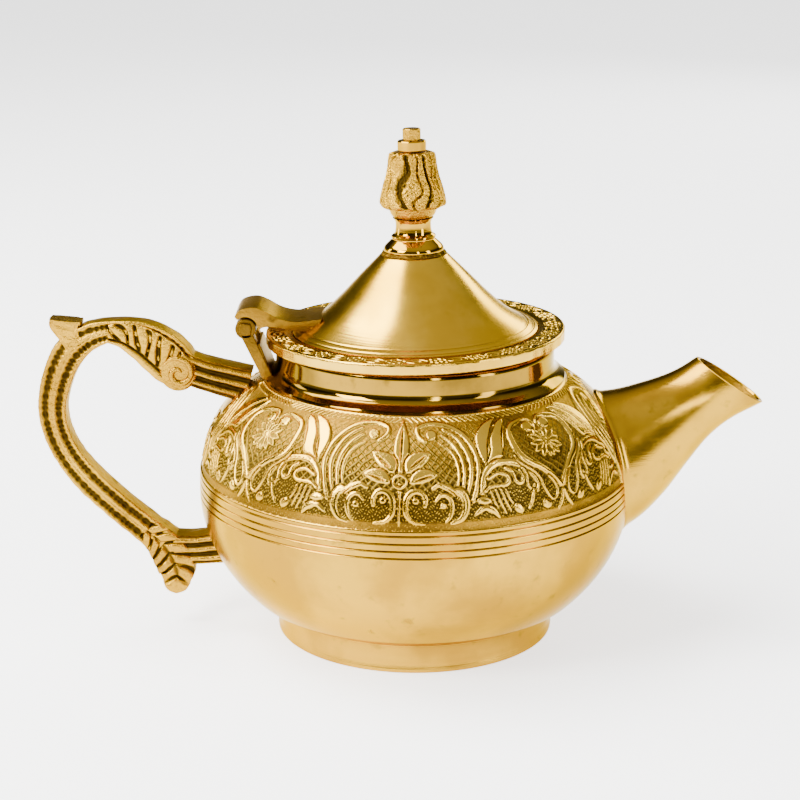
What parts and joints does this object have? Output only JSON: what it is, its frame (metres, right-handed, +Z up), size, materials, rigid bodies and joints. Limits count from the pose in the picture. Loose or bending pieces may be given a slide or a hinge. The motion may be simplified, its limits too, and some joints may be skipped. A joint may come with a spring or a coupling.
{
  "type": "dallah coffee pot",
  "caption": "Squat engraved brass coffee pot with a hinged conical lid, a cast scroll handle, a short spout and a foot ring",
  "frame": {"origin": "floor level under the middle of the whole pot, handle to spout", "axes": "+X from the handle to the spout, +Y to the far side, +Z up"},
  "size_m": [0.2068, 0.124, 0.1449],
  "materials": {
    "satin_brass": "satin, fine turning marks",
    "polished_brass": "mirror polished",
    "engraved_brass": "chased and engraved, dark patina in the recesses",
    "cast_brass": "rough casting, rubbed bright on the high spots"
  },
  "bodies": {
    "pot": {"lower_bowl": "satin_brass", "upper_shoulder": "engraved_brass", "neck_collar": "polished_brass", "foot_ring": "satin_brass", "spout": "satin_brass", "handle": "cast_brass", "hinge_bracket": "cast_brass", "hinge_pin": "cast_brass"},
    "lid": {"lid_hinge_arm": "cast_brass", "lid_cone": "satin_brass", "lid_flange": "engraved_brass", "lid_locating_ring": "polished_brass", "finial_base": "polished_brass", "finial_tulip": "cast_brass", "finial_collar": "polished_brass", "finial_stud": "cast_brass", "finial_washer": "polished_brass", "finial_nut": "polished_brass"}
  },
  "joints": [
    {"name": "lid_hinge", "type": "hinge", "parent": "pot", "child": "lid", "pos_m": [-0.04345, 0, 0.0898], "axis": [0, -1, 0], "range_deg": [0, 105]}
  ]
}
